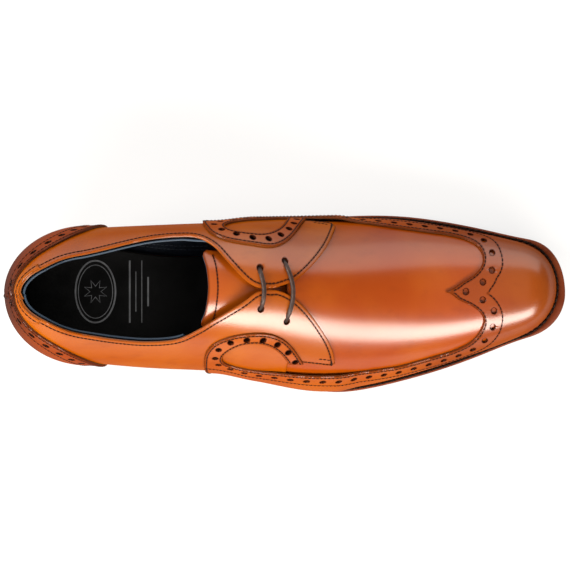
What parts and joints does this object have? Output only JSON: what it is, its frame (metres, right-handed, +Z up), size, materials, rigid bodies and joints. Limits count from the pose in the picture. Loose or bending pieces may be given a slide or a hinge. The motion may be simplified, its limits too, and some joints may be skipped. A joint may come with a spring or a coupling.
{
  "type": "derby shoe",
  "caption": "Right-foot leather derby shoe with a winged brogue toe cap, open lacing, a welted leather sole and a stacked heel.",
  "frame": {"origin": "middle of the shoe's bounding box, on the floor it stands on", "axes": "+X towards the toe, +Y towards the inner (medial) side of the foot, +Z up"},
  "size_m": [0.305, 0.0989, 0.101],
  "materials": {
    "tan_calf": "polished tan calf, hand burnished darker at the toe, edges and heel",
    "navy_lining": "smooth navy lining leather",
    "sock_leather": "smooth near-black navy sock leather",
    "sole_leather": "oak-bark sole leather, waxed",
    "welt_leather": "stained welt leather, stitched",
    "dark_edge": "dark waxed edge",
    "heel_leather": "stacked leather, dark waxed edge",
    "top_rubber": "matt black rubber",
    "insole_leather": "natural vegetable-tanned leather",
    "cork": "ground cork filler",
    "rib_canvas": "linen canvas rib",
    "stiffener": "leatherboard stiffener",
    "steel": "plain steel",
    "nail_brass": "brass pins",
    "thread": "waxed thread",
    "lace_cotton": "round waxed cotton, dark brown",
    "aglet_plastic": "brown plastic tips"
  },
  "bodies": {
    "shoe": {"outsole": "sole_leather", "welt": "welt_leather", "heel_rand": "dark_edge", "heel_lift_1": "heel_leather", "heel_lift_2": "heel_leather", "heel_lift_3": "heel_leather", "top_piece": "top_rubber", "top_piece_nails": "nail_brass", "heel_nails": "steel", "insole_rib": "rib_canvas", "cork_filler": "cork", "shank": "steel", "insole": "insole_leather", "sock_lining": "sock_leather", "vamp": "tan_calf", "wing_cap": "tan_calf", "quarter_lateral": "tan_calf", "quarter_medial": "tan_calf", "counter": "tan_calf", "heel_tab": "tan_calf", "counter_stiffener": "stiffener", "toe_puff": "stiffener", "vamp_lining": "navy_lining", "quarter_lining_lateral": "navy_lining", "quarter_lining_medial": "navy_lining", "facing_stay_lateral": "insole_leather", "facing_stay_medial": "insole_leather", "blind_eyelets": "steel", "bar_tacks": "thread", "lace": "lace_cotton", "aglets": "aglet_plastic"},
    "tongue": {"tongue": "tan_calf", "tongue_lining": "navy_lining"}
  },
  "joints": [
    {"name": "tongue_tilt", "type": "hinge", "parent": "shoe", "child": "tongue", "pos_m": [0, 0.008, 0.0735], "axis": [0, -1, 0], "range_deg": [0, 25], "stiffness_Nm_per_rad": 0.15}
  ]
}
